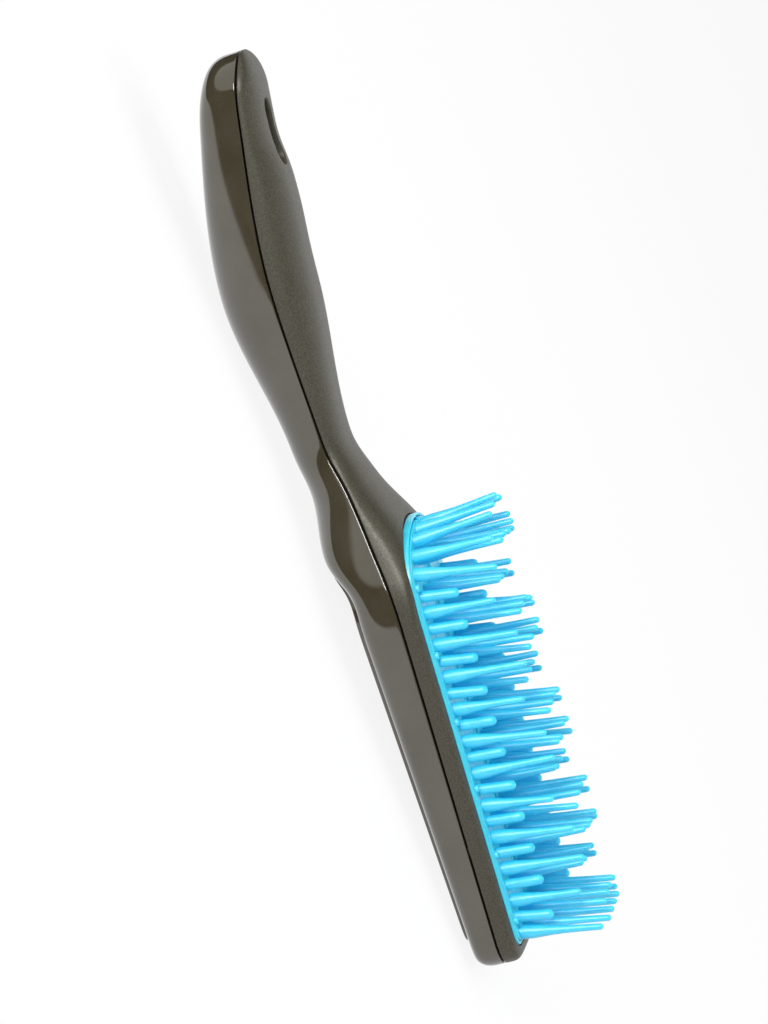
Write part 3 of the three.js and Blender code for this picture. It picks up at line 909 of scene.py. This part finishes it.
def addStuds(plate, side):
    # rings that shrink on the way up the stud and down into its dimple, joined to the bed at an even pitch
    angle = np.linspace(0, 2 * math.pi, studs["sides"], endpoint=False)
    for i in range(studs["count"]):
        x = studs["first"] + i * studs["pitch"]
        level = bed["top"] + liftAt(x)
        rings = []
        for radius, height in zip(studs["radius"], studs["height"]):
            line = np.stack([x + radius * np.cos(angle), studs["y"] * side + radius * np.sin(angle)], -1)
            rings.append(atLevel(line, level + height))
        carve(plate, loftSolid("studTool", np.array(rings)), "UNION")


def makePins(name, side, node):
    # one side's bed joined with its pins and its studs
    field = pinField(side)
    plate = loftSolid(name, bedRings(side))
    carve(plate, field, "UNION")
    addStuds(plate, side)
    finishPiece(smooth(plate, pins["sharpAngle"]), pinBlue, "pins", node)


makePins("bristle_bed_right_skin", 1, "bristle_bed_right")
makePins("bristle_bed_left_skin", -1, "bristle_bed_left")

# CAD pieces that keep their shape
screwNames = ["shell_screw_1", "shell_screw_2", "shell_screw_3", "shell_screw_4"]


def dressNodes(material, names):
    # one material for each of the named CAD nodes
    for name in names:
        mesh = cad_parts[name].data
        mesh.materials.clear()
        mesh.materials.append(material)


dressNodes(greyPlasticFinish(), ["pad_support_grid"])
dressNodes(zincFinish(), screwNames)

# Floor: pale, nearly white to the camera, and keeping a soft shadow near the brush
stage = {"size": 12.0, "level": -0.0004, "colour": 0.9, "shadowShare": 0.13}


def makeFloor():
    # a square whose camera rays see mostly white light, and a share of the lit and shaded surface
    half = stage["size"] / 2
    corners = [(-half, -half), (half, -half), (half, half), (-half, half)]
    floor = addMesh("floor", [(x, y, stage["level"]) for x, y in corners], [[0, 1, 2, 3]])
    material = bpy.data.materials.new("pale_floor")
    material.use_nodes = True
    material.node_tree.nodes.clear()
    diffuse = addNode(material, "ShaderNodeBsdfDiffuse", {"Color": (*[stage["colour"]] * 3, 1)})
    glow = addNode(material, "ShaderNodeEmission", {"Color": (1, 1, 1, 1), "Strength": 1.0})
    path = addNode(material, "ShaderNodeLightPath", {})
    white = addNode(material, "ShaderNodeMath", {
        0: path.outputs["Is Camera Ray"], 1: 1 - stage["shadowShare"]}, operation="MULTIPLY")
    mix = addNode(material, "ShaderNodeMixShader", {
        "Fac": white.outputs[0], 1: diffuse.outputs[0], 2: glow.outputs[0]})
    addNode(material, "ShaderNodeOutputMaterial", {"Surface": mix.outputs[0]})
    floor.data.materials.append(material)
    floor.visible_glossy = False


makeFloor()

# Camera at the photograph's viewing angle, in head axes: from the pins' right, rolled so that the handle
# points up
camera = {
    "lens": 131.55,
    "sensor": 36.0,
    "place": (234.3, 887.0, 183.1),
    "right": (-0.2837, -0.1573, 0.9459),
    "up": (0.9496, -0.1835, 0.2543),
    "back": (0.1336, 0.9703, 0.2015),
}


def makeCamera():
    # place and directions turned from head axes into the lying frame
    turned = [toFrame(camera[name]) - toFrame((0, 0, 0)) for name in ("right", "up", "back")]
    right, up, back = [Vector(direction).normalized() for direction in turned]
    data = bpy.data.cameras.new("photo_camera")
    data.lens = camera["lens"]
    data.sensor_width = camera["sensor"]
    made = bpy.data.objects.new("photo_camera", data)
    bpy.context.scene.collection.objects.link(made)
    place = Matrix.Translation(Vector(toFrame(camera["place"])))
    made.matrix_world = place @ Matrix((right, up, back)).transposed().to_4x4()
    bpy.context.scene.camera = made


makeCamera()

# Lamps: a soft key on the camera side towards the handle's end, and a fill from straight above
lamps = [
    {"name": "key", "place": (0.62, 0.95, 0.2), "aim": (0.0, 0.0, 0.02), "size": (0.4, 0.34), "power": 10.0,
     "mirrored": True},
    {"name": "fill", "place": (-0.05, -0.1, 1.0), "aim": (0.0, 0.0, 0.02), "size": (0.8, 0.8), "power": 5.0,
     "mirrored": False},
]


def makeLamps():
    # rectangular lamps turned towards their aims
    for lamp in lamps:
        data = bpy.data.lights.new(lamp["name"], "AREA")
        data.shape = "RECTANGLE"
        data.size, data.size_y = lamp["size"]
        data.energy = lamp["power"]
        made = bpy.data.objects.new(lamp["name"], data)
        bpy.context.scene.collection.objects.link(made)
        away = Vector(lamp["place"]) - Vector(lamp["aim"])
        made.location = lamp["place"]
        made.rotation_euler = away.to_track_quat("Z", "Y").to_euler()
        made.visible_glossy = lamp["mirrored"]


# The room: even light, white to the camera. Mirrored in gloss it is white below and behind, dark towards
# the handle's end and the camera, and bright again beyond the handle's end
room = {
    "light": 0.6,
    "axis": (0.905, 0.3015, 0.3015),
    "bands": [(0.572, (1.0, 1.0, 1.0)), (0.584, (0.03, 0.03, 0.03)), (0.81, (0.03, 0.03, 0.03)),
              (0.84, (0.8, 0.8, 0.76))],
}
mixSockets = {"first": 6, "second": 7, "result": 2}     # the colour sockets of a mix node, by number


def mixColours(world, share, first, second):
    # a colour that goes from the first to the second with a share
    made = addNode(world, "ShaderNodeMix", {
        "Factor": share, mixSockets["first"]: first, mixSockets["second"]: second}, data_type="RGBA")
    return made.outputs[mixSockets["result"]]


def makeRoom():
    # bands of colour over the share of the way along the room's axis
    world = bpy.data.worlds.new("white_tent")
    bpy.context.scene.world = world
    world.use_nodes = True
    ground = world.node_tree.nodes["Background"]
    path = addNode(world, "ShaderNodeLightPath", {})
    place = addNode(world, "ShaderNodeTexCoord", {})
    toward = addNode(world, "ShaderNodeVectorMath", {
        0: place.outputs["Generated"], 1: room["axis"]}, operation="DOT_PRODUCT")
    tent = addRamp(world, addRange(world, toward.outputs["Value"], (-1.0, 1.0), (0.0, 1.0)), room["bands"])
    mirrored = mixColours(world, path.outputs["Is Glossy Ray"], (*[room["light"]] * 3, 1), tent)
    seen = mixColours(world, path.outputs["Is Camera Ray"], mirrored, (1, 1, 1, 1))
    world.node_tree.links.new(seen, ground.inputs["Color"])


makeLamps()
makeRoom()
bpy.context.scene.view_settings.view_transform = "Standard"
print("stage, camera and lamps ready")
